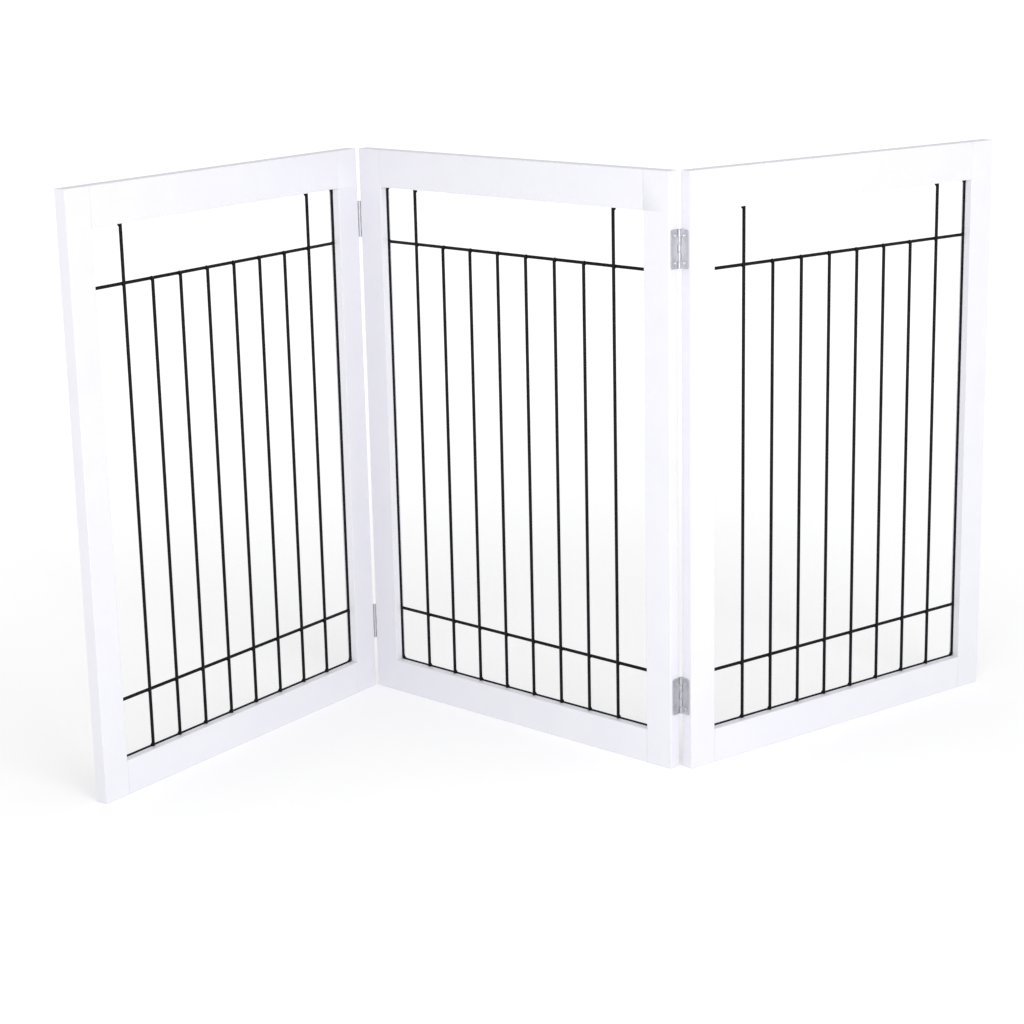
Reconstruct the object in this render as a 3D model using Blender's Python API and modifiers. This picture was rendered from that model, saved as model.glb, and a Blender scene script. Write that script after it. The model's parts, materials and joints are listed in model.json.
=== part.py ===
"""Folding pet gate.

Three framed panels stand on the floor in a zigzag. Each panel is two stiles and two rails, dowelled
together round a welded wire grille. Two butt hinges on the stiles' edges join each pair of panels:
the left pair has its pins at the front and the right pair at the back, so the gate folds flat.

A panel's frame has its origin at its front left bottom corner: +X along it, +Y to its back, +Z up.
A hinge's frame has its origin on the pin's axis at mid height, with the stile it is screwed to at +X.
"""
import math

import bmesh
import bpy
from mathutils import Matrix, Vector

# Panels
PANEL_WIDTH = 0.533
PANEL_HEIGHT = 0.762
BOARD_THICKNESS = 0.0175
STILE_WIDTH = 0.0395
TOP_RAIL_HEIGHT = 0.05
BOTTOM_RAIL_HEIGHT = 0.045
EDGE_EASE = 0.001
SEAM = 0.0003

# How the gate stands: the middle panel's heading, and each fold away from a straight line
MIDDLE_HEADING = math.radians(-41.3)
LEFT_FOLD = math.radians(96.9)
RIGHT_FOLD = math.radians(78.7)

# Dowels in the frame joints
DOWEL_RADIUS = 0.004
DOWEL_LENGTH = 0.040
DOWEL_CHAMFER = 0.0008
DOWEL_CLEARANCE = 0.0003

# Welded grille: a border loop let more than half way into a groove, two cross wires and eight uprights
BORDER_RADIUS = 0.0022
WIRE_RADIUS = 0.0021
BORDER_SINK = 0.0008
GRILLE_Y = 0.0128
BORDER_BEND = 0.008
BORDER_BEND_STEPS = 4
UPPER_CROSS_Z = 0.6378
LOWER_CROSS_Z = 0.12
UPRIGHTS = 8
UPRIGHT_SPACING = 0.049
UPRIGHT_TAIL = 0.0024
LAP = 0.0035
GROOVE_DEPTH = 0.0032
GROOVE_WIDTH = 0.005
WIRE_CLEARANCE = 0.0004

# Butt hinges
HINGE_HEIGHT = 0.048
HINGE_INSET = 0.0955
KNUCKLES = 5
KNUCKLE_RADIUS = 0.002
KNUCKLE_GAP = 0.0003
SLOT_CLEARANCE = 0.0005
LEAF_REACH = 0.0145
LEAF_THICKNESS = 0.0009
LEAF_CORNER = 0.003
PIN_PROUD = 0.0003
PIN_CLEARANCE = 0.0001
PIN_RADIUS = KNUCKLE_RADIUS - LEAF_THICKNESS - PIN_CLEARANCE
PIN_HEAD_RADIUS = 0.0016
PIN_HEAD_HEIGHT = 0.0005
REST_GAP = 0.0002

# Countersunk wood screws
SCREW_LENGTH = 0.016
SCREW_RADIUS = 0.00145
SCREW_HEAD_RADIUS = 0.0026
SCREW_RIM = 0.0001
SCREW_TAPER = 0.004
SCREW_CLEARANCE = 0.0003
SCREW_FROM_PIN = 0.008
SCREW_SPACING = 0.0335
RECESS_LENGTH = 0.003
RECESS_WIDTH = 0.0007
RECESS_DEPTH = 0.0009

# Flat sides on the round pieces
WIRE_SIDES = 8
HINGE_SIDES = 16
SCREW_SIDES = 12
DOWEL_SIDES = 12

# The stiles' edges stand off the pin's axis far enough for the knuckles to turn
EDGE_TO_PIN = KNUCKLE_RADIUS + REST_GAP
DOWEL_Y = BOARD_THICKNESS / 2
OPENING_LEFT = STILE_WIDTH
OPENING_RIGHT = PANEL_WIDTH - STILE_WIDTH
OPENING_BOTTOM = BOTTOM_RAIL_HEIGHT
OPENING_TOP = PANEL_HEIGHT - TOP_RAIL_HEIGHT
LOOP_LEFT = OPENING_LEFT - BORDER_SINK
LOOP_RIGHT = OPENING_RIGHT + BORDER_SINK
OVERCUT = 0.002

# Places closer together than NEAR are the same, and corners closer than MERGE_DISTANCE are joined
NEAR = 0.0001
MERGE_DISTANCE = 0.000001


def clear_scene():
    for obj in list(bpy.data.objects):
        bpy.data.objects.remove(obj, do_unlink=True)


def make_collection(name):
    collection = bpy.data.collections.new(name)
    bpy.context.scene.collection.children.link(collection)
    return collection


def make_material(name, colour, roughness, metallic):
    material = bpy.data.materials.new(name)
    material.use_nodes = True
    shader = material.node_tree.nodes["Principled BSDF"]
    shader.inputs["Base Color"].default_value = (*colour, 1.0)
    shader.inputs["Roughness"].default_value = roughness
    shader.inputs["Metallic"].default_value = metallic
    return material


def add_part(name, mesh, material, parent, location=(0, 0, 0), rotation=(0, 0, 0)):
    """One visible sub-part, placed in its parent's frame."""
    if not mesh.materials:
        mesh.materials.append(material)
    obj = bpy.data.objects.new(name, mesh)
    obj.parent = parent
    obj.location = location
    obj.rotation_euler = rotation
    GATE.objects.link(obj)
    return obj


def add_cutter(name, bm, parent=None):
    """A shape that cuts or joins another one, and is no part of the gate itself."""
    mesh = bpy.data.meshes.new(name)
    bm.to_mesh(mesh)
    bm.free()
    obj = bpy.data.objects.new(name, mesh)
    obj.parent = parent
    obj.hide_render = True
    obj.display_type = "WIRE"
    CUTTERS.objects.link(obj)
    return obj


def add_boolean(obj, other, operation):
    modifier = obj.modifiers.new(other.name, "BOOLEAN")
    modifier.operation = operation
    modifier.solver = "EXACT"
    modifier.object = other


def finished_mesh(obj, name):
    """The object's mesh with its modifiers worked in, for pieces that are repeated."""
    bpy.context.view_layer.update()
    evaluated = obj.evaluated_get(bpy.context.evaluated_depsgraph_get())
    mesh = bpy.data.meshes.new_from_object(evaluated)
    mesh.name = name
    return mesh


def smooth(mesh):
    mesh.shade_smooth()
    mesh.set_sharp_from_angle(angle=math.radians(35))


def add_block(bm, low, high):
    """A box between two corners."""
    low = Vector(low)
    high = Vector(high)
    place = Matrix.Translation((low + high) / 2) @ Matrix.Diagonal((*(high - low), 1.0))
    bmesh.ops.create_cube(bm, size=1.0, matrix=place)


def add_rod(bm, start, end, radius, sides, end_radius=None):
    """A round bar or a cone between two points."""
    start = Vector(start)
    end = Vector(end)
    along = end - start
    turn = along.to_track_quat("Z", "Y").to_matrix().to_4x4()
    bmesh.ops.create_cone(
        bm,
        cap_ends=True,
        segments=sides,
        radius1=radius,
        radius2=radius if end_radius is None else end_radius,
        depth=along.length,
        matrix=Matrix.Translation((start + end) / 2) @ turn,
    )


def turned(name, profile, steps):
    """A body of revolution about Z, from a profile that runs from the top down its outer side."""
    bm = bmesh.new()
    points = [bm.verts.new((radius, 0, height)) for radius, height in profile]
    for upper, lower in zip(points, points[1:]):
        bm.edges.new((upper, lower))
    blank = add_cutter(name + "_profile", bm)
    screw = blank.modifiers.new("Turn", "SCREW")
    screw.axis = "Z"
    screw.angle = math.tau
    screw.steps = steps
    screw.render_steps = steps
    screw.use_merge_vertices = True
    screw.merge_threshold = MERGE_DISTANCE
    return blank


# Frame boards


def board_mesh(low, high, eased, splits=()):
    """A board about its own middle; eased(edge direction, edge middle) picks the rounded edges."""
    middle = (Vector(low) + Vector(high)) / 2
    bm = bmesh.new()
    add_block(bm, low, high)
    for height in splits:
        everything = bm.verts[:] + bm.edges[:] + bm.faces[:]
        bmesh.ops.bisect_plane(bm, geom=everything, plane_co=(0, 0, height), plane_no=(0, 0, 1))
    picked = []
    for edge in bm.edges:
        start, end = (vert.co for vert in edge.verts)
        direction = (end - start).normalized()
        if len({face.normal.to_tuple(3) for face in edge.link_faces}) > 1:
            if eased(direction, (start + end) / 2):
                picked.append(edge)
    bmesh.ops.bevel(
        bm, geom=picked, offset=EDGE_EASE, segments=2, profile=0.5, affect="EDGES", clamp_overlap=True
    )
    bmesh.ops.translate(bm, verts=bm.verts, vec=-middle)
    mesh = bpy.data.meshes.new("board")
    bm.to_mesh(mesh)
    bm.free()
    return mesh, middle


def add_stile(panel, side, hinge_y):
    """An upright at one side; hinge_y is where its outer edge is drilled for hinge screws, if at all."""
    prefix, origin = panel
    outer = 0.0 if side == "left" else PANEL_WIDTH
    inner = OPENING_LEFT if side == "left" else OPENING_RIGHT
    inward = 1 if side == "left" else -1

    def eased(direction, middle):
        at_inner = abs(middle.x - inner) < NEAR
        if abs(direction.z) > 0.5:
            return not at_inner or OPENING_BOTTOM < middle.z < OPENING_TOP
        return not at_inner

    low = (min(outer, inner), 0, 0)
    high = (max(outer, inner), BOARD_THICKNESS, PANEL_HEIGHT)
    mesh, middle = board_mesh(low, high, eased, splits=(OPENING_BOTTOM, OPENING_TOP))
    stile = add_part(f"{prefix}_{side}_stile", mesh, PAINT, origin, middle)

    bm = bmesh.new()
    across = sorted((inner - inward * GROOVE_DEPTH, inner + inward * OVERCUT))
    low = (across[0], GRILLE_Y - GROOVE_WIDTH / 2, OPENING_BOTTOM - OVERCUT)
    high = (across[1], GRILLE_Y + GROOVE_WIDTH / 2, OPENING_TOP + OVERCUT)
    add_block(bm, low, high)
    hole_depth = DOWEL_LENGTH / 2 + DOWEL_CLEARANCE
    for height in rail_middles():
        start = (inner + inward * OVERCUT, DOWEL_Y, height)
        end = (inner - inward * hole_depth, DOWEL_Y, height)
        add_rod(bm, start, end, DOWEL_RADIUS + DOWEL_CLEARANCE, DOWEL_SIDES)
    if hinge_y is not None:
        pilot_depth = SCREW_LENGTH - LEAF_THICKNESS + SCREW_CLEARANCE
        for hinge_z in hinge_heights():
            for height in screw_heights():
                start = (outer - inward * OVERCUT, hinge_y, hinge_z + height)
                end = (outer + inward * pilot_depth, hinge_y, hinge_z + height)
                add_rod(bm, start, end, SCREW_RADIUS + SCREW_CLEARANCE, SCREW_SIDES)
    add_boolean(stile, add_cutter(stile.name + "_cuts", bm, origin), "DIFFERENCE")


def add_rail(panel, level):
    """A cross board between the stiles, at the top or at the bottom."""
    prefix, origin = panel
    left = OPENING_LEFT + SEAM
    right = OPENING_RIGHT - SEAM
    if level == "top":
        bottom, top, inner, outward = OPENING_TOP, PANEL_HEIGHT, OPENING_TOP, 1
    else:
        bottom, top, inner, outward = 0.0, OPENING_BOTTOM, OPENING_BOTTOM, -1

    def eased(direction, middle):
        return abs(direction.x) > 0.5

    mesh, middle = board_mesh((left, 0, bottom), (right, BOARD_THICKNESS, top), eased)
    rail = add_part(f"{prefix}_{level}_rail", mesh, PAINT, origin, middle)

    bm = bmesh.new()
    heights = sorted((inner + outward * GROOVE_DEPTH, inner - outward * OVERCUT))
    low = (left - OVERCUT, GRILLE_Y - GROOVE_WIDTH / 2, heights[0])
    high = (right + OVERCUT, GRILLE_Y + GROOVE_WIDTH / 2, heights[1])
    add_block(bm, low, high)
    hole_depth = DOWEL_LENGTH / 2 + DOWEL_CLEARANCE
    height = (bottom + top) / 2
    for end, inward in ((left, 1), (right, -1)):
        start = (end - inward * OVERCUT, DOWEL_Y, height)
        finish = (end + inward * hole_depth, DOWEL_Y, height)
        add_rod(bm, start, finish, DOWEL_RADIUS + DOWEL_CLEARANCE, DOWEL_SIDES)
    add_boolean(rail, add_cutter(rail.name + "_cuts", bm, origin), "DIFFERENCE")


def rail_middles():
    return BOTTOM_RAIL_HEIGHT / 2, PANEL_HEIGHT - TOP_RAIL_HEIGHT / 2


def dowel_mesh():
    half = DOWEL_LENGTH / 2
    profile = [
        (0, half),
        (DOWEL_RADIUS - DOWEL_CHAMFER, half),
        (DOWEL_RADIUS, half - DOWEL_CHAMFER),
        (DOWEL_RADIUS, DOWEL_CHAMFER - half),
        (DOWEL_RADIUS - DOWEL_CHAMFER, -half),
        (0, -half),
    ]
    mesh = finished_mesh(turned("dowel", profile, DOWEL_SIDES), "dowel")
    smooth(mesh)
    return mesh


def add_dowels(panel, mesh):
    """One dowel through each of the four frame joints."""
    prefix, origin = panel
    for level, height in zip(("bottom", "top"), rail_middles()):
        for side, x in (("left", OPENING_LEFT), ("right", OPENING_RIGHT)):
            name = f"{prefix}_{level}_{side}_dowel"
            middle = x + (SEAM / 2 if side == "left" else -SEAM / 2)
            add_part(name, mesh, BEECH, origin, (middle, DOWEL_Y, height), (0, math.pi / 2, 0))


# Wire grille


def border_points():
    """The border loop's centre line: a rectangle with bent corners, a little larger than the opening."""
    turns = (
        (LOOP_RIGHT, OPENING_BOTTOM - BORDER_SINK, -1, 1, -90),
        (LOOP_RIGHT, OPENING_TOP + BORDER_SINK, -1, -1, 0),
        (LOOP_LEFT, OPENING_TOP + BORDER_SINK, 1, -1, 90),
        (LOOP_LEFT, OPENING_BOTTOM - BORDER_SINK, 1, 1, 180),
    )
    points = []
    for x, z, inward_x, inward_z, first in turns:
        for step in range(BORDER_BEND_STEPS + 1):
            angle = math.radians(first + 90 * step / BORDER_BEND_STEPS)
            across = x + BORDER_BEND * (inward_x + math.cos(angle))
            points.append((across, GRILLE_Y, z + BORDER_BEND * (inward_z + math.sin(angle))))
    return points


def border_loop():
    """The loop as a closed tube."""
    points = border_points()
    curve = bpy.data.curves.new("border_loop", "CURVE")
    curve.dimensions = "3D"
    spline = curve.splines.new("POLY")
    spline.points.add(len(points) - 1)
    for point, place in zip(spline.points, points):
        point.co = (*place, 1.0)
    spline.use_cyclic_u = True
    curve.bevel_depth = BORDER_RADIUS
    curve.bevel_resolution = (WIRE_SIDES - 4) // 2
    guide = bpy.data.objects.new("border_loop_guide", curve)
    CUTTERS.objects.link(guide)
    mesh = finished_mesh(guide, "border_loop")
    bpy.data.objects.remove(guide, do_unlink=True)
    bm = bmesh.new()
    bm.from_mesh(mesh)
    bmesh.ops.remove_doubles(bm, verts=bm.verts, dist=MERGE_DISTANCE)
    return add_cutter("border_loop", bm)


def grille_mesh():
    """The weldment: uprights lapped in front of the loop and the cross wires, all run together."""
    loop = border_loop()
    crosses = bmesh.new()
    for height in (LOWER_CROSS_Z, UPPER_CROSS_Z):
        start = (LOOP_LEFT, GRILLE_Y, height)
        add_rod(crosses, start, (LOOP_RIGHT, GRILLE_Y, height), WIRE_RADIUS, WIRE_SIDES)
    uprights = bmesh.new()
    for index in range(UPRIGHTS):
        x = PANEL_WIDTH / 2 + (index - (UPRIGHTS - 1) / 2) * UPRIGHT_SPACING
        is_tall = index in (0, UPRIGHTS - 1)
        top = OPENING_TOP - WIRE_CLEARANCE if is_tall else UPPER_CROSS_Z + UPRIGHT_TAIL
        start = (x, GRILLE_Y - LAP, OPENING_BOTTOM + WIRE_CLEARANCE)
        add_rod(uprights, start, (x, GRILLE_Y - LAP, top), WIRE_RADIUS, WIRE_SIDES)
    add_boolean(loop, add_cutter("cross_wires", crosses), "UNION")
    add_boolean(loop, add_cutter("uprights", uprights), "UNION")
    mesh = finished_mesh(loop, "grille")
    smooth(mesh)
    return mesh


# Hinges


def hinge_heights():
    return HINGE_INSET, PANEL_HEIGHT - HINGE_INSET


def screw_heights():
    return -SCREW_SPACING / 2, SCREW_SPACING / 2


def knuckle_cutter(name, bands):
    """Round slots where the other leaf's knuckles turn."""
    pitch = HINGE_HEIGHT / KNUCKLES
    bm = bmesh.new()
    for band in bands:
        bottom = -HINGE_HEIGHT / 2 + band * pitch - KNUCKLE_GAP / 2
        top = -HINGE_HEIGHT / 2 + (band + 1) * pitch + KNUCKLE_GAP / 2
        if band == 0:
            bottom -= OVERCUT
        if band == KNUCKLES - 1:
            top += OVERCUT
        add_rod(bm, (0, 0, bottom), (0, 0, top), KNUCKLE_RADIUS + SLOT_CLEARANCE, HINGE_SIDES)
    return add_cutter(name, bm)


def countersink_cutter(name):
    """Cones through the leaf for the screw heads, a little larger than the heads."""
    face = KNUCKLE_RADIUS - LEAF_THICKNESS
    mouth = SCREW_HEAD_RADIUS + SCREW_CLEARANCE
    margin = LEAF_THICKNESS / 3
    depth = LEAF_THICKNESS + 2 * margin
    bm = bmesh.new()
    for height in screw_heights():
        start = (face - margin, SCREW_FROM_PIN, height)
        end = (face - margin + depth, SCREW_FROM_PIN, height)
        add_rod(bm, start, end, mouth + margin, HINGE_SIDES, end_radius=mouth + margin - depth)
    return add_cutter(name, bm)


def leaf_mesh(name, own_bands):
    """A stamped leaf with its plate tangent to the knuckles that are rolled from it."""
    half = HINGE_HEIGHT / 2
    bm = bmesh.new()
    add_block(bm, (KNUCKLE_RADIUS - LEAF_THICKNESS, 0, -half), (KNUCKLE_RADIUS, LEAF_REACH, half))
    corners = []
    for edge in bm.edges:
        ends = [vert.co for vert in edge.verts]
        if all(end.y > LEAF_REACH - NEAR for end in ends) and abs((ends[1] - ends[0]).z) < NEAR:
            corners.append(edge)
    bmesh.ops.bevel(bm, geom=corners, offset=LEAF_CORNER, segments=3, profile=0.5, affect="EDGES")
    leaf = add_cutter(name, bm)
    barrel = bmesh.new()
    add_rod(barrel, (0, 0, -half), (0, 0, half), KNUCKLE_RADIUS, HINGE_SIDES)
    bore = bmesh.new()
    ends = [(0, 0, -half - OVERCUT), (0, 0, half + OVERCUT)]
    add_rod(bore, *ends, PIN_RADIUS + PIN_CLEARANCE, HINGE_SIDES)
    other_bands = [band for band in range(KNUCKLES) if band not in own_bands]
    add_boolean(leaf, add_cutter(name + "_barrel", barrel), "UNION")
    add_boolean(leaf, knuckle_cutter(name + "_slots", other_bands), "DIFFERENCE")
    add_boolean(leaf, add_cutter(name + "_bore", bore), "DIFFERENCE")
    add_boolean(leaf, countersink_cutter(name + "_countersinks"), "DIFFERENCE")
    mesh = finished_mesh(leaf, name)
    smooth(mesh)
    return mesh


def pin_mesh():
    """A plain pin with a small peened head at each end."""
    shoulder = HINGE_HEIGHT / 2 + REST_GAP
    end = shoulder + PIN_HEAD_HEIGHT
    rounded = PIN_HEAD_RADIUS - PIN_HEAD_HEIGHT / 2
    upper = [
        (0, end),
        (rounded, end),
        (PIN_HEAD_RADIUS, end - PIN_HEAD_HEIGHT / 2),
        (PIN_HEAD_RADIUS, shoulder),
        (PIN_RADIUS, shoulder),
    ]
    lower = [(radius, -height) for radius, height in reversed(upper)]
    mesh = finished_mesh(turned("pin", upper + lower, HINGE_SIDES), "pin")
    smooth(mesh)
    return mesh


def screw_mesh():
    """A countersunk wood screw along +Z from the top of its head, with a cross recess."""
    cone = SCREW_HEAD_RADIUS - SCREW_RADIUS
    profile = [
        (0, SCREW_LENGTH),
        (SCREW_RADIUS, SCREW_LENGTH - SCREW_TAPER),
        (SCREW_RADIUS, SCREW_RIM + cone),
        (SCREW_HEAD_RADIUS, SCREW_RIM),
        (SCREW_HEAD_RADIUS, 0),
        (0, 0),
    ]
    screw = turned("screw", profile, SCREW_SIDES)
    bm = bmesh.new()
    half_length = RECESS_LENGTH / 2
    half_width = RECESS_WIDTH / 2
    add_block(bm, (-half_length, -half_width, -OVERCUT), (half_length, half_width, RECESS_DEPTH))
    cross = bmesh.new()
    add_block(cross, (-half_width, -half_length, -OVERCUT), (half_width, half_length, RECESS_DEPTH))
    add_boolean(screw, add_cutter("screw_slot_one", bm), "DIFFERENCE")
    add_boolean(screw, add_cutter("screw_slot_two", cross), "DIFFERENCE")
    mesh = finished_mesh(screw, "screw")
    smooth(mesh)
    return mesh


def add_leaf(hinge, leaf, mesh, origin, place, turn, screw):
    """A leaf and its two screws on a panel; turn swings the hinge's frame to the panel's."""
    seat = add_empty(f"{hinge}_{leaf}_seat", origin, place, turn)
    add_part(f"{hinge}_{leaf}", mesh, ZINC, seat)
    head_x = KNUCKLE_RADIUS - LEAF_THICKNESS
    for level, height in zip(("lower", "upper"), screw_heights()):
        height = -height if turn[0] or turn[1] else height
        spot = (head_x, SCREW_FROM_PIN, height)
        add_part(f"{hinge}_{leaf}_{level}_screw", screw, BRIGHT, seat, spot, (0, math.pi / 2, 0))


# Putting the gate together


def add_empty(name, parent, location, rotation=(0, 0, 0)):
    empty = bpy.data.objects.new(name, None)
    empty.empty_display_size = 0.05
    empty.parent = parent
    empty.location = location
    empty.rotation_euler = rotation
    GATE.objects.link(empty)
    return empty


def plan_middle():
    """The middle of the gate's outline in plan, in a frame at the middle panel's origin."""
    middle = Matrix.Rotation(MIDDLE_HEADING, 4, "Z")
    left = middle @ Matrix.Translation(LEFT_PIN) @ Matrix.Rotation(LEFT_FOLD, 4, "Z")
    left = left @ Matrix.Translation(LEFT_PANEL_FROM_PIN)
    right = middle @ Matrix.Translation(RIGHT_PIN) @ Matrix.Rotation(RIGHT_FOLD, 4, "Z")
    right = right @ Matrix.Translation(RIGHT_PANEL_FROM_PIN)
    corners = []
    for place in (left, middle, right):
        for x in (0, PANEL_WIDTH):
            for y in (0, BOARD_THICKNESS):
                corners.append(place @ Vector((x, y, 0)))
    across = [corner.x for corner in corners]
    deep = [corner.y for corner in corners]
    return Vector(((min(across) + max(across)) / 2, (min(deep) + max(deep)) / 2, 0))


def add_panel(prefix, origin, dowel, grille, left_hinge_y, right_hinge_y):
    panel = (prefix, origin)
    add_stile(panel, "left", left_hinge_y)
    add_stile(panel, "right", right_hinge_y)
    add_rail(panel, "top")
    add_rail(panel, "bottom")
    add_dowels(panel, dowel)
    add_part(f"{prefix}_grille", grille, BLACK_WIRE, origin)


LEFT_PIN = Vector((-EDGE_TO_PIN, -PIN_PROUD, 0))
RIGHT_PIN = Vector((PANEL_WIDTH + EDGE_TO_PIN, BOARD_THICKNESS + PIN_PROUD, 0))
LEFT_PANEL_FROM_PIN = Vector((-PANEL_WIDTH - EDGE_TO_PIN, PIN_PROUD, 0))
RIGHT_PANEL_FROM_PIN = Vector((EDGE_TO_PIN, -BOARD_THICKNESS - PIN_PROUD, 0))
FRONT_SCREWS_Y = SCREW_FROM_PIN - PIN_PROUD
BACK_SCREWS_Y = BOARD_THICKNESS + PIN_PROUD - SCREW_FROM_PIN

clear_scene()
GATE = make_collection("pet_gate")
CUTTERS = make_collection("cutters")
PAINT = make_material("white_paint", (0.86, 0.86, 0.89), 0.45, 0.0)
BEECH = make_material("beech", (0.66, 0.47, 0.30), 0.7, 0.0)
BLACK_WIRE = make_material("black_coated_wire", (0.012, 0.011, 0.013), 0.42, 0.0)
ZINC = make_material("zinc_plate", (0.55, 0.55, 0.57), 0.35, 1.0)
BRIGHT = make_material("bright_screw", (0.75, 0.75, 0.76), 0.25, 1.0)

middle_origin = add_empty("middle_panel_origin", None, (0, 0, 0), (0, 0, MIDDLE_HEADING))
middle_origin.location = -plan_middle()
left_axis = add_empty("left_fold_axis", middle_origin, LEFT_PIN, (0, 0, LEFT_FOLD))
left_origin = add_empty("left_panel_origin", left_axis, LEFT_PANEL_FROM_PIN)
right_axis = add_empty("right_fold_axis", middle_origin, RIGHT_PIN, (0, 0, RIGHT_FOLD))
right_origin = add_empty("right_panel_origin", right_axis, RIGHT_PANEL_FROM_PIN)

dowel = dowel_mesh()
grille = grille_mesh()
add_panel("left_panel", left_origin, dowel, grille, None, FRONT_SCREWS_Y)
add_panel("middle_panel", middle_origin, dowel, grille, FRONT_SCREWS_Y, BACK_SCREWS_Y)
add_panel("right_panel", right_origin, dowel, grille, BACK_SCREWS_Y, None)

middle_leaf = leaf_mesh("three_knuckle_leaf", (0, 2, 4))
outer_leaf = leaf_mesh("two_knuckle_leaf", (1, 3))
pin = pin_mesh()
screw = screw_mesh()
for level, height in zip(("lower", "upper"), hinge_heights()):
    lift = Vector((0, 0, height))
    hinge = f"left_{level}_hinge"
    add_leaf(hinge, "middle_leaf", middle_leaf, middle_origin, LEFT_PIN + lift, (0, 0, 0), screw)
    add_leaf(hinge, "left_leaf", outer_leaf, left_axis, lift, (0, math.pi, 0), screw)
    add_part(f"{hinge}_pin", pin, ZINC, middle_origin, LEFT_PIN + lift)
    hinge = f"right_{level}_hinge"
    add_leaf(hinge, "middle_leaf", middle_leaf, middle_origin, RIGHT_PIN + lift, (0, 0, math.pi), screw)
    add_leaf(hinge, "right_leaf", outer_leaf, right_axis, lift, (math.pi, 0, 0), screw)
    add_part(f"{hinge}_pin", pin, ZINC, middle_origin, RIGHT_PIN + lift)
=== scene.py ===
"""The finished look of a folding pet gate: three white framed wire panels on butt hinges, in a zigzag.

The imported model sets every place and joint. Each of its nodes is stood for by a finished piece, which is
modelled in its panel's or its hinge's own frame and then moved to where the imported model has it.
"""

import json
import math

import bmesh
import bpy
from mathutils import Matrix, Vector


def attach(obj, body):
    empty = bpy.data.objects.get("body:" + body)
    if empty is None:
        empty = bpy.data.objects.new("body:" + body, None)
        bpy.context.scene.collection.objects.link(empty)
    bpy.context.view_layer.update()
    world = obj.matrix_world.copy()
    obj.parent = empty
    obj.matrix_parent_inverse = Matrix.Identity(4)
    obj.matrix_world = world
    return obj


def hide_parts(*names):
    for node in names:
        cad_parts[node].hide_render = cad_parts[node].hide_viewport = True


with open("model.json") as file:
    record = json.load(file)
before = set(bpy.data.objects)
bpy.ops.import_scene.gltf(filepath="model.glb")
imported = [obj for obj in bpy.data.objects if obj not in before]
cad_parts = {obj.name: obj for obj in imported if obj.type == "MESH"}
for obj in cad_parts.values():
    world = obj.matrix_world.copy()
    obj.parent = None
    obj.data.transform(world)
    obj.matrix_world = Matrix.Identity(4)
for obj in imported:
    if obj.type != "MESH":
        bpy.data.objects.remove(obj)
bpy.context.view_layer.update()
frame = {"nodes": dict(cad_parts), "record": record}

# How the gate stands
# Three panels stand in a zigzag. A panel's own frame starts at its front left bottom corner, with +X along
# the panel and +Y to its back. The pins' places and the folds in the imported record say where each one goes.
BOARD_THICKNESS = 0.0175
PIN_FROM_EDGE = 0.0022
PIN_PROUD = 0.0003

joints = {joint["name"]: joint for joint in frame["record"]["behaviour"]["joints"]}
left_pin = Vector((*joints["left_fold"]["pos_m"][:2], 0))
right_pin = Vector((*joints["right_fold"]["pos_m"][:2], 0))
left_fold = math.radians(-joints["left_fold"]["range_deg"][0])
right_fold = math.radians(-joints["right_fold"]["range_deg"][0])
pin_to_pin = right_pin - left_pin
pins_apart_in_depth = BOARD_THICKNESS + 2 * PIN_PROUD
pins_apart_in_length = math.sqrt(pin_to_pin.length_squared - pins_apart_in_depth**2)
panel_width = pins_apart_in_length - 2 * PIN_FROM_EDGE
heading = math.atan2(pin_to_pin.y, pin_to_pin.x) - math.atan2(pins_apart_in_depth, pins_apart_in_length)


def axis_place(pin, angle):
    return Matrix.Translation(pin) @ Matrix.Rotation(angle, 4, "Z")


middle_place = axis_place(left_pin, heading) @ Matrix.Translation((PIN_FROM_EDGE, PIN_PROUD, 0))
left_axis = axis_place(left_pin, heading + left_fold)
right_axis = axis_place(right_pin, heading + right_fold)
panels = {
    "left_panel": left_axis @ Matrix.Translation((-panel_width - PIN_FROM_EDGE, PIN_PROUD, 0)),
    "middle_panel": middle_place,
    "right_panel": right_axis @ Matrix.Translation((PIN_FROM_EDGE, -BOARD_THICKNESS - PIN_PROUD, 0)),
}


def box_in(node, place):
    """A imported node's lowest and highest corners, measured in a panel's or a hinge's own frame."""
    inside = place.inverted()
    corners = [inside @ vert.co for vert in frame["nodes"][node].data.vertices]
    low = Vector([min(corner[axis] for corner in corners) for axis in range(3)])
    high = Vector([max(corner[axis] for corner in corners) for axis in range(3)])
    return low, high


# Stiles
# The upright boards at a panel's two sides are planed fibreboard. Their long edges are eased, the inner
# edge is routed for the grille's border wire, and holes are drilled for the dowels and the hinge screws.
EDGE_EASE = 0.001
EASE_STEPS = 4
GROOVE_MIDDLE = 0.0128
GROOVE_WIDTH = 0.005
GROOVE_DEPTH = 0.0032
HOLE_CLEARANCE = 0.0003
DOWEL_HOLE_SIDES = 32
PILOT_RADIUS = 0.00175
PILOT_SIDES = 24
OVERCUT = 0.002
NEAR = 0.0001
FACING = 0.9
BOARD_SMOOTH = 30
EASED_TURN = (17, 60)
NODE_START = -900
NODE_STEP = 180
PAINT = (0.80, 0.795, 0.845)
PAINT_HOLLOW = (0.74, 0.735, 0.80)
PRIMER = (0.60, 0.585, 0.60)


def activate(piece):
    """Leaves one object selected and active, for the operators that follow."""
    bpy.ops.object.select_all(action="DESELECT")
    piece.select_set(True)
    bpy.context.view_layer.objects.active = piece


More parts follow.
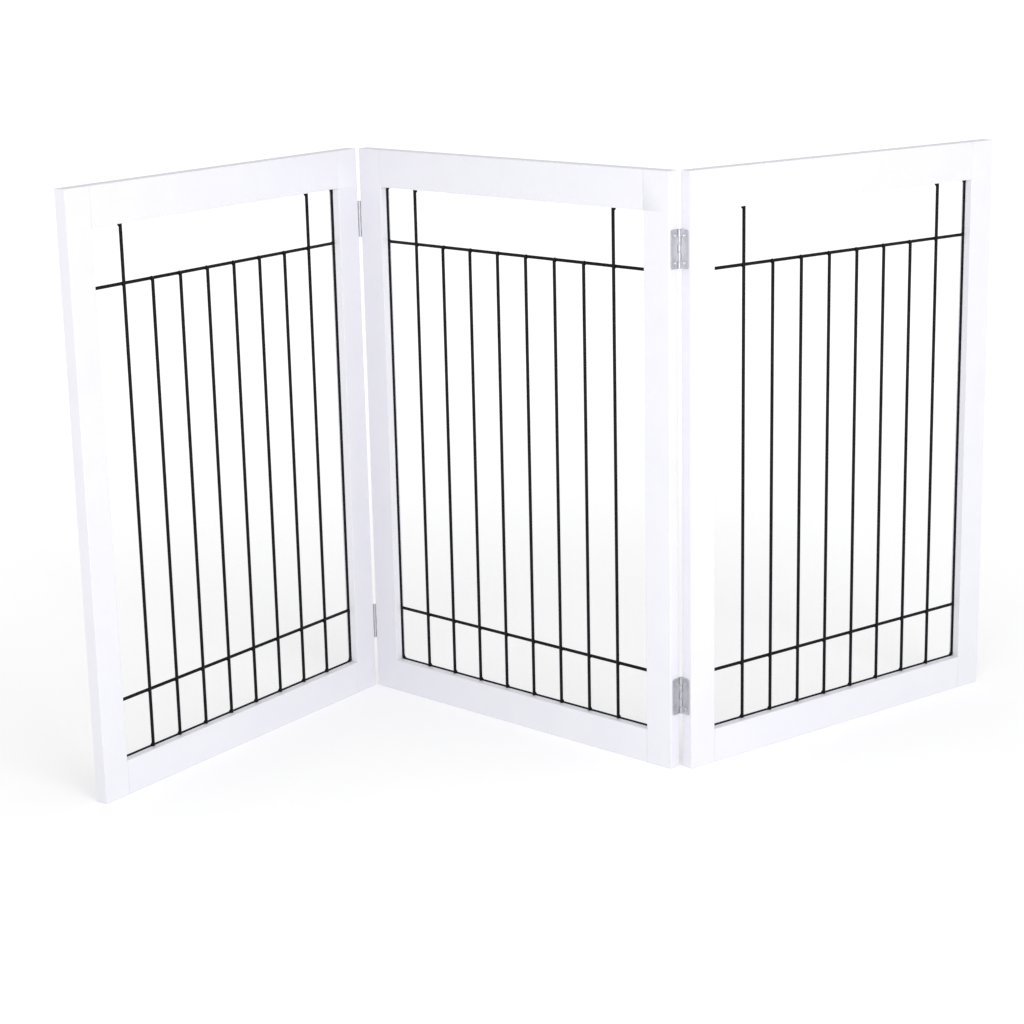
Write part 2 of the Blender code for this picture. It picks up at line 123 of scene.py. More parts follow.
def start_box(name, low, high):
    """A block between two corners, ready to be worked."""
    bpy.ops.object.select_all(action="DESELECT")
    bpy.ops.mesh.primitive_cube_add(size=1, location=(Vector(low) + Vector(high)) / 2)
    piece = bpy.context.object
    piece.name = name
    piece.scale = Vector(high) - Vector(low)
    bpy.ops.object.transform_apply(location=True, rotation=True, scale=True)
    return piece


def start_rod(name, start, end, radius, sides, end_radius=None):
    """A round bar, or a cone, between two points."""
    along = Vector(end) - Vector(start)
    bpy.ops.object.select_all(action="DESELECT")
    bpy.ops.mesh.primitive_cone_add(
        vertices=sides,
        radius1=radius,
        radius2=radius if end_radius is None else end_radius,
        depth=along.length,
        location=(Vector(start) + Vector(end)) / 2,
        rotation=along.to_track_quat("Z", "Y").to_euler(),
    )
    piece = bpy.context.object
    piece.name = name
    bpy.ops.object.transform_apply(location=True, rotation=True, scale=True)
    return piece


def pick_faces(wanted):
    """In edit mode, selects the faces whose middle and normal are wanted."""
    bpy.ops.mesh.select_mode(type="FACE")
    bpy.ops.mesh.select_all(action="DESELECT")
    mesh = bpy.context.object.data
    shape = bmesh.from_edit_mesh(mesh)
    for face in shape.faces:
        face.select_set(wanted(face.calc_center_median(), face.normal))
    bmesh.update_edit_mesh(mesh)


def pick_edges(wanted):
    """In edit mode, selects the edges whose two ends are wanted."""
    bpy.ops.mesh.select_mode(type="EDGE")
    bpy.ops.mesh.select_all(action="DESELECT")
    mesh = bpy.context.object.data
    shape = bmesh.from_edit_mesh(mesh)
    for edge in shape.edges:
        edge.select_set(wanted(edge.verts[0].co, edge.verts[1].co))
    bmesh.update_edit_mesh(mesh)


def bisect_all(point, normal):
    """In edit mode, marks a cut right round the piece."""
    bpy.ops.mesh.select_all(action="SELECT")
    bpy.ops.mesh.bisect(plane_co=point, plane_no=normal)


def cut(piece, *cutters):
    """Takes each cutter's shape out of the piece, as a router or a drill does."""
    for cutter in cutters:
        activate(piece)
        modifier = piece.modifiers.new("Cut", "BOOLEAN")
        modifier.operation = "DIFFERENCE"
        modifier.solver = "EXACT"
        modifier.object = cutter
        bpy.ops.object.modifier_apply(modifier=modifier.name)
        bpy.data.objects.remove(cutter, do_unlink=True)


def shade(piece, angle):
    """Smooths the rounded places and keeps the flat faces flat."""
    activate(piece)
    bpy.ops.object.shade_smooth_by_angle(angle=math.radians(angle))
    modifier = piece.modifiers.new("Flat faces", "WEIGHTED_NORMAL")
    modifier.keep_sharp = True
    bpy.ops.object.modifier_apply(modifier=modifier.name)


def note_own_place(piece, order=(0, 1, 2), shift=0.0):
    """Stores each point's place in the piece's own frame, length last, for its patterns."""
    places = []
    for vert in piece.data.vertices:
        across, deep, along = (vert.co[axis] for axis in order)
        places += [across, deep, along + shift]
    attribute = piece.data.attributes.new("own_place", "FLOAT_VECTOR", "POINT")
    attribute.data.foreach_set("vector", places)


def note_edges(piece, least, most):
    """Marks the points inside rounded edges: their faces turn by an angle between least and most."""
    shape = bmesh.new()
    shape.from_mesh(piece.data)
    marks = []
    for vert in shape.verts:
        normals = [face.normal for face in vert.link_faces]
        turn = max((one.angle(two, 0) for one in normals for two in normals), default=0)
        marks.append(1.0 if math.radians(least) < turn < math.radians(most) else 0.0)
    shape.free()
    attribute = piece.data.attributes.new("edge", "FLOAT", "POINT")
    attribute.data.foreach_set("value", marks)


def place_piece(piece, place, material, body, node):
    """Moves a finished piece to its place, gives it its finish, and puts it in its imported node's stead."""
    piece.data.name = piece.name
    piece.data.transform(place)
    piece.data.materials.clear()
    piece.data.materials.append(material)
    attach(piece, body)
    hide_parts(node)


def add_node(tree, kind, inputs, **settings):
    """A shader node. An input that is given as another node's socket is linked, and any other is set."""
    node = tree.nodes.new(kind)
    node.location = (NODE_START + len(tree.nodes) * NODE_STEP, 0)
    for name, value in settings.items():
        setattr(node, name, value)
    for name, value in inputs.items():
        if isinstance(value, bpy.types.NodeSocket):
            tree.links.new(value, node.inputs[name])
        else:
            node.inputs[name].default_value = value
    return node


def start_group(name, inputs, outputs):
    """A shader node group with its sockets; a number or vector input comes with its usual value."""
    tree = bpy.data.node_groups.new(name, "ShaderNodeTree")
    for label, usual in inputs.items():
        kind = "NodeSocketVector" if usual is None else "NodeSocketFloat"
        socket = tree.interface.new_socket(label, in_out="INPUT", socket_type=kind)
        if usual is not None:
            socket.default_value = usual
    for label in outputs:
        tree.interface.new_socket(label, in_out="OUTPUT", socket_type="NodeSocketFloat")
    return tree, tree.nodes.new("NodeGroupInput").outputs, tree.nodes.new("NodeGroupOutput").inputs


def sprayed_film():
    """The skin of a sprayed or baked coat: fine ripples like orange peel over slow waves."""
    usual = {"Place": None, "Ripples per Metre": 650.0, "Waves per Metre": 25.0, "Wave Share": 0.4}
    tree, given, result = start_group("sprayed_film", usual, ("Height", "Patches"))
    ripples = add_node(
        tree,
        "ShaderNodeTexNoise",
        {"Vector": given["Place"], "Scale": given["Ripples per Metre"], "Detail": 2.0, "Roughness": 0.4},
    )
    waves = add_node(
        tree,
        "ShaderNodeTexNoise",
        {"Vector": given["Place"], "Scale": given["Waves per Metre"], "Detail": 3.0, "Roughness": 0.5},
    )
    both = add_node(
        tree,
        "ShaderNodeMix",
        {"Factor": given["Wave Share"], "A": ripples.outputs["Fac"], "B": waves.outputs["Fac"]},
        data_type="FLOAT",
    )
    tree.links.new(both.outputs["Result"], result["Height"])
    tree.links.new(waves.outputs["Fac"], result["Patches"])
    return tree


def long_grain():
    """Fibres that run along a piece's length, closer together across it than along it."""
    usual = {"Place": None, "Fibres per Metre": 900.0, "Stretch": 0.03}
    tree, given, result = start_group("long_grain", usual, ("Height", "Bands"))
    squeeze = add_node(
        tree, "ShaderNodeCombineXYZ", {"X": 1.0, "Y": 1.0, "Z": given["Stretch"]}
    )
    place = add_node(
        tree, "ShaderNodeVectorMath", {0: given["Place"], 1: squeeze.outputs["Vector"]}, operation="MULTIPLY"
    )
    fibres = add_node(
        tree,
        "ShaderNodeTexNoise",
        {"Vector": place.outputs["Vector"], "Scale": given["Fibres per Metre"], "Detail": 3.0},
    )
    slower = add_node(
        tree, "ShaderNodeMath", {0: given["Fibres per Metre"], 1: 0.12}, operation="MULTIPLY"
    )
    bands = add_node(
        tree,
        "ShaderNodeTexNoise",
        {
            "Vector": place.outputs["Vector"],
            "Scale": slower.outputs["Value"],
            "Detail": 2.0,
            "Distortion": 0.6,
        },
    )
    tree.links.new(fibres.outputs["Fac"], result["Height"])
    tree.links.new(bands.outputs["Fac"], result["Bands"])
    return tree


def rubbed_and_highlit_edges():
    """Broken patches along rounded edges, from the edge mark that each piece carries: rubbing on the paint,
    and on the zinc rubbing with a painted highlight.
    """
    usual = {"Place": None, "Edge": 0.0, "Breaks per Metre": 120.0, "Reach": 0.5}
    tree, given, result = start_group("rubbed_and_highlit_edges", usual, ("Rub_and_Highlight",))
    breaks = add_node(
        tree,
        "ShaderNodeTexNoise",
        {"Vector": given["Place"], "Scale": given["Breaks per Metre"], "Detail": 4.0, "Roughness": 0.6},
    )
    start = add_node(tree, "ShaderNodeMath", {0: 0.75, 1: given["Reach"]}, operation="SUBTRACT")
    end = add_node(tree, "ShaderNodeMath", {0: start.outputs["Value"], 1: 0.25}, operation="ADD")
    patches = add_node(
        tree,
        "ShaderNodeMapRange",
        {
            "Value": breaks.outputs["Fac"],
            "From Min": start.outputs["Value"],
            "From Max": end.outputs["Value"],
        },
        interpolation_type="SMOOTHSTEP",
    )
    rub_and_highlight = add_node(
        tree, "ShaderNodeMath", {0: patches.outputs["Result"], 1: given["Edge"]}, operation="MULTIPLY"
    )
    tree.links.new(rub_and_highlight.outputs["Value"], result["Rub_and_Highlight"])
    return tree


def handling_marks():
    """Smudges from hands, and thin scratches that run nearly the same way."""
    usual = {"Place": None, "Smudges per Metre": 30.0, "Scratches per Metre": 350.0, "Scratched": 0.3}
    tree, given, result = start_group("handling_marks", usual, ("Smudges", "Scratches"))
    smudges = add_node(
        tree,
        "ShaderNodeTexNoise",
        {"Vector": given["Place"], "Scale": given["Smudges per Metre"], "Detail": 5.0, "Distortion": 0.8},
    )
    turned = add_node(
        tree,
        "ShaderNodeMapping",
        {"Vector": given["Place"], "Rotation": (0.35, 0.5, 0.2), "Scale": (1.0, 1.0, 0.04)},
    )
    lines = add_node(
        tree,
        "ShaderNodeTexNoise",
        {"Vector": turned.outputs["Vector"], "Scale": given["Scratches per Metre"], "Detail": 1.0},
    )
    start = add_node(tree, "ShaderNodeMath", {0: 0.78, 1: given["Scratched"]}, operation="SUBTRACT")
    end = add_node(tree, "ShaderNodeMath", {0: start.outputs["Value"], 1: 0.06}, operation="ADD")
    scratches = add_node(
        tree,
        "ShaderNodeMapRange",
        {
            "Value": lines.outputs["Fac"],
            "From Min": start.outputs["Value"],
            "From Max": end.outputs["Value"],
        },
    )
    tree.links.new(smudges.outputs["Fac"], result["Smudges"])
    tree.links.new(scratches.outputs["Result"], result["Scratches"])
    return tree


FILM = sprayed_film()
GRAIN = long_grain()
EDGE_RUB_AND_HIGHLIGHT = rubbed_and_highlit_edges()
MARKS = handling_marks()


def start_material(name, **constants):
    """A material with a Principled shader, and sockets for the piece's own place and edge marks."""
    material = bpy.data.materials.new(name)
    material.use_nodes = True
    tree = material.node_tree
    shader = tree.nodes["Principled BSDF"]
    for label, value in constants.items():
        shader.inputs[label.replace("_", " ")].default_value = value
    place = add_node(tree, "ShaderNodeAttribute", {}, attribute_name="own_place").outputs["Vector"]
    edge = add_node(tree, "ShaderNodeAttribute", {}, attribute_name="edge").outputs["Fac"]
    return material, tree, shader, place, edge


def use_group(tree, group, **inputs):
    node = tree.nodes.new("ShaderNodeGroup")
    node.node_tree = group
    node.location = (NODE_START + len(tree.nodes) * NODE_STEP, -300)
    for name, value in inputs.items():
        socket = node.inputs[name.replace("_", " ")]
        if isinstance(value, bpy.types.NodeSocket):
            tree.links.new(value, socket)
        else:
            socket.default_value = value
    return node.outputs


def mix_colours(tree, share, first, second):
    """The first colour turning to the second by a share; either may be a socket."""
    node = tree.nodes.new("ShaderNodeMix")
    node.data_type = "RGBA"
    node.location = (NODE_START + len(tree.nodes) * NODE_STEP, 300)
    tree.links.new(share, node.inputs[0])
    for socket, colour in ((node.inputs[6], first), (node.inputs[7], second)):
        if isinstance(colour, bpy.types.NodeSocket):
            tree.links.new(colour, socket)
        else:
            socket.default_value = (*colour, 1.0)
    return node.outputs[2]


def ranged(tree, value, low, high, start=0.3, end=0.7):
    """A mask spread over a range of values."""
    inputs = {"Value": value, "From Min": start, "From Max": end, "To Min": low, "To Max": high}
    return add_node(tree, "ShaderNodeMapRange", inputs).outputs["Result"]


def summed(tree, one, two, factor=1.0):
    """One value plus a factor times another."""
    return add_node(tree, "ShaderNodeMath", {0: two, 1: factor, 2: one}, operation="MULTIPLY_ADD").outputs[0]


def raise_surface(tree, shader, height, depth):
    """Feeds a height through a bump of a real depth to the shader."""
    bump = add_node(tree, "ShaderNodeBump", {"Height": height, "Distance": depth, "Strength": 1.0})
    tree.links.new(bump.outputs["Normal"], shader.inputs["Normal"])


def white_paint():
    """Satin white, sprayed over primer: orange peel, a trace of fibre, and thinner paint on the edges."""
    material, tree, shader, place, edge = start_material("white_paint")
    film = use_group(tree, FILM, Place=place, Ripples_per_Metre=520.0, Waves_per_Metre=16.0, Wave_Share=0.35)
    grain = use_group(tree, GRAIN, Place=place, Fibres_per_Metre=800.0, Stretch=0.02)
    rub_and_highlight = use_group(tree, EDGE_RUB_AND_HIGHLIGHT, Place=place, Edge=edge, Breaks_per_Metre=90.0, Reach=0.28)
    marks = use_group(tree, MARKS, Place=place, Smudges_per_Metre=18.0, Scratched=0.16)
    body = mix_colours(tree, ranged(tree, film["Patches"], 0.0, 0.35), PAINT, PAINT_HOLLOW)
    faded = mix_colours(tree, ranged(tree, rub_and_highlight["Rub_and_Highlight"], 0.0, 0.35, 0.0, 1.0), body, PRIMER)
    tree.links.new(faded, shader.inputs["Base Color"])
    satin = ranged(tree, marks["Smudges"], 0.36, 0.50)
    worn = summed(tree, satin, rub_and_highlight["Rub_and_Highlight"], -0.10)
    tree.links.new(summed(tree, worn, marks["Scratches"], 0.05), shader.inputs["Roughness"])
    height = summed(tree, film["Height"], grain["Height"], 0.35)
    raise_surface(tree, shader, summed(tree, height, marks["Scratches"], -0.15), 0.00005)
    return material


white = white_paint()


def ease_edges(wanted):
    """In edit mode, rounds over the edges whose two ends are wanted."""
    pick_edges(wanted)
    bpy.ops.mesh.bevel(offset=EDGE_EASE, segments=EASE_STEPS, profile=0.5, affect="EDGES")


def drill_for_dowel(body, level, side, place, inward):
    """A drill that leaves the dowel's hole in the board on that side of the joint."""
    low, high = box_in(f"{body}_{level}_{side}_dowel", place)
    middle = (low + high) / 2
    reach = (high.x - low.x) / 2 + HOLE_CLEARANCE
    radius = (high.z - low.z) / 2 + HOLE_CLEARANCE
    end = middle + Vector((inward * reach, 0, 0))
    start = middle - Vector((inward * OVERCUT, 0, 0))
    return start_rod("drill", start, end, radius, DOWEL_HOLE_SIDES)


def stile(body, place, side, shift):
    node = f"{body}_{side}_stile"
    low, high = box_in(node, place)
    opening_bottom = box_in(f"{body}_bottom_rail", place)[1].z
    opening_top = box_in(f"{body}_top_rail", place)[0].z
    inner, outer, inward = (high.x, low.x, 1) if side == "left" else (low.x, high.x, -1)
    board = start_box(node + "_board", low, high)
    bpy.ops.object.mode_set(mode="EDIT")
    bisect_all((0, 0, opening_bottom), (0, 0, 1))
    bisect_all((0, 0, opening_top), (0, 0, 1))

    def eased(start, end):
        middle = (start + end) / 2
        upright = abs(end.z - start.z) > NEAR
        if abs(middle.x - inner) < NEAR:
            return upright and opening_bottom < middle.z < opening_top
        at_end = abs(start.z - low.z) < NEAR or abs(start.z - high.z) < NEAR
        return upright or at_end

    ease_edges(eased)
    bpy.ops.object.mode_set(mode="OBJECT")
    half_groove = Vector((GROOVE_DEPTH, GROOVE_WIDTH / 2, 0))
    groove_low = Vector((inner, GROOVE_MIDDLE, opening_bottom - OVERCUT)) - half_groove
    groove_high = Vector((inner, GROOVE_MIDDLE, opening_top + OVERCUT)) + half_groove
    cut(board, start_box("router", groove_low, groove_high))
    for level in ("bottom", "top"):
        cut(board, drill_for_dowel(body, level, side, place, -inward))
    for screw_node in frame["record"]["behaviour"]["bodies"][body]:
        if screw_node.endswith("_screw"):
            screw_low, screw_high = box_in(screw_node, place)
            if screw_low.x < outer < screw_high.x:
                middle = (screw_low + screw_high) / 2
                tip = screw_high.x if inward > 0 else screw_low.x
                start = (outer - inward * OVERCUT, middle.y, middle.z)
                end = (tip + inward * HOLE_CLEARANCE, middle.y, middle.z)
                cut(board, start_rod("drill", start, end, PILOT_RADIUS, PILOT_SIDES))
    shade(board, BOARD_SMOOTH)
    note_edges(board, *EASED_TURN)
    note_own_place(board, shift=shift)
    place_piece(board, place, white, body, node)


for index, (body, place) in enumerate(panels.items()):
    for side in ("left", "right"):
        stile(body, place, side, index + (0.5 if side == "right" else 0.0))

# Rails
# The boards across the top and the bottom of a panel are of the same stock as the stiles. They butt
# against the stiles' inner edges, and one edge is routed from end to end for the border wire.


def rail(body, place, level, shift):
    node = f"{body}_{level}_rail"
    low, high = box_in(node, place)
    inner = high.z if level == "bottom" else low.z
    board = start_box(node + "_board", low, high)
    bpy.ops.object.mode_set(mode="EDIT")
    ease_edges(lambda start, end: abs(end.x - start.x) > NEAR)
    bpy.ops.object.mode_set(mode="OBJECT")
    groove_low = (low.x - OVERCUT, GROOVE_MIDDLE - GROOVE_WIDTH / 2, inner - GROOVE_DEPTH)
    groove_high = (high.x + OVERCUT, GROOVE_MIDDLE + GROOVE_WIDTH / 2, inner + GROOVE_DEPTH)
    cut(board, start_box("router", groove_low, groove_high))
    cut(board, drill_for_dowel(body, level, "left", place, 1))
    cut(board, drill_for_dowel(body, level, "right", place, -1))
    shade(board, BOARD_SMOOTH)
    note_edges(board, *EASED_TURN)
    note_own_place(board, order=(2, 1, 0), shift=shift)
    place_piece(board, place, white, body, node)


for index, (body, place) in enumerate(panels.items()):
    for level in ("bottom", "top"):
        rail(body, place, level, index + (0.75 if level == "top" else 0.25))

# Dowels
# Each frame joint is held by a glued beech dowel with chamfered ends. Flutes pressed along it let the
# air and the spare glue out of the hole.
FLUTES = 20
FLUTE_DEPTH = 0.07
DOWEL_CHAMFER = 0.0008
DOWEL_SMOOTH = 30
BEECH = (0.62, 0.43, 0.27)
BEECH_DARK = (0.48, 0.30, 0.17)


def beech():
    """Plain turned beech: straight close grain with darker bands and a few glue marks."""
    material, tree, shader, place, edge = start_material("beech")
    grain = use_group(tree, GRAIN, Place=place, Fibres_per_Metre=2600.0, Stretch=0.06)
    marks = use_group(tree, MARKS, Place=place, Smudges_per_Metre=160.0, Scratched=0.1)
    wood = mix_colours(tree, ranged(tree, grain["Bands"], 0.0, 1.0), BEECH, BEECH_DARK)
    flecked = mix_colours(tree, ranged(tree, grain["Height"], 0.0, 0.3), wood, BEECH_DARK)
    tree.links.new(flecked, shader.inputs["Base Color"])
    tree.links.new(ranged(tree, marks["Smudges"], 0.55, 0.8), shader.inputs["Roughness"])
    raise_surface(tree, shader, grain["Height"], 0.00008)
    return material


beech_wood = beech()


def dowel(body, place, level, side, shift):
    node = f"{body}_{level}_{side}_dowel"
    low, high = box_in(node, place)
    length = high.x - low.x
    radius = (high.z - low.z) / 2
    piece = start_rod(node + "_fluted", (0, 0, -length / 2), (0, 0, length / 2), radius, 2 * FLUTES)
    bpy.ops.object.mode_set(mode="EDIT")

    def in_flute(start, end):
        step = math.atan2(start.y, start.x) / (math.pi / FLUTES)
        return abs(end.z - start.z) > NEAR and round(step) % 2 == 1

    pick_edges(in_flute)
    shrink = 1 - FLUTE_DEPTH
    bpy.ops.transform.resize(value=(shrink, shrink, 1), center_override=(0, 0, 0))
    pick_edges(lambda start, end: abs(end.z - start.z) < NEAR)
    bpy.ops.mesh.bevel(offset=DOWEL_CHAMFER, segments=2, profile=0.5, affect="EDGES")
    bpy.ops.object.mode_set(mode="OBJECT")
    shade(piece, DOWEL_SMOOTH)
    note_own_place(piece, shift=shift)
    turned = place @ Matrix.Translation((low + high) / 2) @ Matrix.Rotation(math.pi / 2, 4, "Y")
    place_piece(piece, turned, beech_wood, body, node)


for index, (body, place) in enumerate(panels.items()):
    for level in ("bottom", "top"):
        for side in ("left", "right"):
            dowel(body, place, level, side, index * 0.4 + 0.1 * len(level) + 0.05 * len(side))

# Grilles
# A border wire is bent to a closed loop that sits in the boards' grooves. Two cross wires, and eight
# uprights in front of them, are resistance welded to it, and the whole is powder coated black.
BORDER_RADIUS = 0.0022
BORDER_SINK = 0.0008
WIRE_RADIUS = 0.0021
WIRE_SIDES = 20
BORDER_BEND = 0.008
BEND_STEPS = 8
CROSS_HEIGHTS = (0.12, 0.6378)
UPRIGHTS = 8
UPRIGHT_SPACING = 0.049
UPRIGHT_TAIL = 0.0024
LAP = 0.0035
WIRE_CLEARANCE = 0.0004
CROPPED_EDGE = 0.0003
WELD_SPREAD = 0.0031
WELD_THICKNESS = 0.001
WELD_SIDES = 16
WELD_RINGS = 8
WELD_PRESSED = (1.12, 1.0, 0.94)
GRILLE_SMOOTH = 40
POWDER = (0.0042, 0.0036, 0.0048)
POWDER_RUBBED = (0.010, 0.009, 0.011)


def powder_coat():
    """Black powder baked to a half-gloss skin, with a fine pebble and the odd dry patch."""
    material, tree, shader, place, edge = start_material("powder_coat", Specular_IOR_Level=0.12)
    film = use_group(tree, FILM, Place=place, Ripples_per_Metre=2200.0, Waves_per_Metre=120.0)
    marks = use_group(tree, MARKS, Place=place, Smudges_per_Metre=45.0, Scratched=0.12)
    tint = mix_colours(tree, ranged(tree, marks["Smudges"], 0.0, 0.6), POWDER, POWDER_RUBBED)
    tree.links.new(tint, shader.inputs["Base Color"])
    gloss = ranged(tree, film["Patches"], 0.34, 0.52)
    tree.links.new(summed(tree, gloss, marks["Scratches"], 0.1), shader.inputs["Roughness"])
    raise_surface(tree, shader, film["Height"], 0.00006)
    return material


black = powder_coat()


def border_wire(low, high):
    """The border loop: a rectangle with bent corners, made round."""
    middle = (low + high) / 2
    bpy.ops.object.select_all(action="DESELECT")
    bpy.ops.mesh.primitive_plane_add(size=1, location=middle, rotation=(math.pi / 2, 0, 0))
    loop = bpy.context.object
    loop.scale = (high.x - low.x, high.z - low.z, 1)
    bpy.ops.object.transform_apply(location=True, rotation=True, scale=True)
    bpy.ops.object.mode_set(mode="EDIT")
    bpy.ops.mesh.select_all(action="SELECT")
    bpy.ops.mesh.bevel(offset=BORDER_BEND, segments=BEND_STEPS, profile=0.5, affect="VERTICES")
    bpy.ops.mesh.delete(type="ONLY_FACE")
    bpy.ops.object.mode_set(mode="OBJECT")
    bpy.ops.object.convert(target="CURVE")
    loop = bpy.context.object
    loop.data.bevel_depth = BORDER_RADIUS
    loop.data.bevel_resolution = (WIRE_SIDES - 4) // 2
    bpy.ops.object.convert(target="MESH")
    return bpy.context.object


def straight_wire(start, end):
    """A cropped length of wire with its cut edges taken off."""
    wire = start_rod("wire", start, end, WIRE_RADIUS, WIRE_SIDES)
    along = (Vector(end) - Vector(start)).normalized()
    bpy.ops.object.mode_set(mode="EDIT")
    pick_edges(lambda one, two: abs((two - one).dot(along)) < NEAR)
    bpy.ops.mesh.bevel(offset=CROPPED_EDGE, segments=2, profile=0.5, affect="EDGES")
    bpy.ops.object.mode_set(mode="OBJECT")
    return wire


def weld(point, turn):
    """The squeezed-out metal between two crossed wires, under the coat."""
    bpy.ops.object.select_all(action="DESELECT")
    bpy.ops.mesh.primitive_uv_sphere_add(
        segments=WELD_SIDES, ring_count=WELD_RINGS, radius=1, location=point
    )
    nugget = bpy.context.object
    nugget.scale = (WELD_SPREAD, WELD_THICKNESS, WELD_SPREAD)
    nugget.rotation_euler = (0, turn, 0)
    bpy.ops.object.transform_apply(location=True, rotation=True, scale=True)
    bpy.ops.object.mode_set(mode="EDIT")
    pick_faces(lambda middle, normal: abs(normal.y) > FACING)
    bpy.ops.transform.resize(value=WELD_PRESSED)
    bpy.ops.object.mode_set(mode="OBJECT")
    return nugget


def grille():
    """One weldment in a panel's own frame."""
    low, high = box_in("middle_panel_grille", middle_place)
    grille_y = high.y - BORDER_RADIUS
    low = Vector((low.x + BORDER_RADIUS, grille_y, low.z + BORDER_RADIUS))
    high = Vector((high.x - BORDER_RADIUS, grille_y, high.z - BORDER_RADIUS))
    wires = [border_wire(low, high)]
    for height in CROSS_HEIGHTS:
        wires.append(straight_wire((low.x, grille_y, height), (high.x, grille_y, height)))
    contact_y = grille_y - LAP / 2
    for index in range(UPRIGHTS):
        x = panel_width / 2 + (index - (UPRIGHTS - 1) / 2) * UPRIGHT_SPACING
        is_tall = index in (0, UPRIGHTS - 1)
        tall_top = high.z - BORDER_SINK - WIRE_CLEARANCE
        top = tall_top if is_tall else CROSS_HEIGHTS[1] + UPRIGHT_TAIL
        start = (x, grille_y - LAP, low.z + BORDER_SINK + WIRE_CLEARANCE)
        wires.append(straight_wire(start, (x, grille_y - LAP, top)))
        for height in CROSS_HEIGHTS:
            wires.append(weld((x, contact_y, height), 0.3 * index))
        wires.append(weld((x, contact_y, start[2] + WELD_SPREAD / 2), 0.5 * index))
        if is_tall:
            wires.append(weld((x, contact_y, top - WELD_SPREAD / 2), 0.7 * index))
    activate(wires[0])
    for wire in wires:
        wire.select_set(True)
    bpy.ops.object.join()
    weldment = bpy.context.object
    bpy.ops.object.shade_smooth_by_angle(angle=math.radians(GRILLE_SMOOTH))
    note_own_place(weldment)
    return weldment


def copy_of(master, name):
    """A copy with a mesh of its own."""
    piece = master.copy()
    piece.data = master.data.copy()
    piece.name = name
    bpy.context.scene.collection.objects.link(piece)
    return piece


weldment = grille()
for body, place in panels.items():
    piece = copy_of(weldment, f"{body}_grille_weldment")
    place_piece(piece, place, black, body, f"{body}_grille")
bpy.data.objects.remove(weldment, do_unlink=True)

# Hinge leaves
# Each leaf is pressed from thin steel strip. Its tabs are rolled round the pin as knuckles, three on the
# middle panel's leaf and two on the other, and two countersunk holes take the screws. It is zinc plated.
HINGE_HEIGHT = 0.048
KNUCKLES = 5
KNUCKLE_RADIUS = 0.002
KNUCKLE_GAP = 0.0003
NOTCH_DEPTH = 0.0025
LEAF_REACH = 0.0145
LEAF_THICKNESS = 0.0009
LEAF_CORNER = 0.003
CORNER_STEPS = 8
ROLL = math.radians(298)
ROLL_STEPS = 32
PRESSED_EDGE = 0.00012
SCREW_FROM_PIN = 0.008
SCREW_SPACING = 0.0335
COUNTERSINK_MOUTH = 0.0029
COUNTERSINK_SIDES = 48
PRESSED_ANGLE = 35
LEAF_SMOOTH = 50
PRESSED_TURN = (30, 60)
ZINC = (0.60, 0.60, 0.63)
ZINC_PALE = (0.74, 0.75, 0.78)
ZINC_DULL = (0.48, 0.48, 0.51)


def zinc_plate():
    """Bright zinc over pressed steel: rolling lines, cloudy passivation, and paler edges that are partly
    rubbed metal and partly a painted highlight.
    """
    material, tree, shader, place, edge = start_material("zinc_plate", Metallic=1.0)
    lines = use_group(tree, GRAIN, Place=place, Fibres_per_Metre=7000.0, Stretch=0.03)
    cloud = use_group(tree, FILM, Place=place, Ripples_per_Metre=1500.0, Waves_per_Metre=260.0)
    rub_and_highlight = use_group(tree, EDGE_RUB_AND_HIGHLIGHT, Place=place, Edge=edge, Breaks_per_Metre=500.0, Reach=0.5)
    marks = use_group(tree, MARKS, Place=place, Smudges_per_Metre=120.0, Scratches_per_Metre=2500.0)
    clouded = mix_colours(tree, ranged(tree, cloud["Patches"], 0.0, 1.0), ZINC, ZINC_DULL)
    streaked = mix_colours(tree, ranged(tree, lines["Height"], 0.0, 0.35), clouded, ZINC_PALE)
    # Paler zinc along the pressed edges: partly rubbed metal, partly a painted highlight.
    rubbed_zinc_and_edge_highlight = mix_colours(tree, ranged(tree, rub_and_highlight["Rub_and_Highlight"], 0.0, 0.8, 0.0, 1.0), streaked, ZINC_PALE)
    tree.links.new(rubbed_zinc_and_edge_highlight, shader.inputs["Base Color"])
    gloss = ranged(tree, marks["Smudges"], 0.34, 0.50)
    tree.links.new(summed(tree, gloss, marks["Scratches"], 0.08), shader.inputs["Roughness"])
    height = summed(tree, lines["Height"], cloud["Height"], 0.6)
    raise_surface(tree, shader, summed(tree, height, marks["Scratches"], -0.4), 0.00001)
    return material


zinc = zinc_plate()


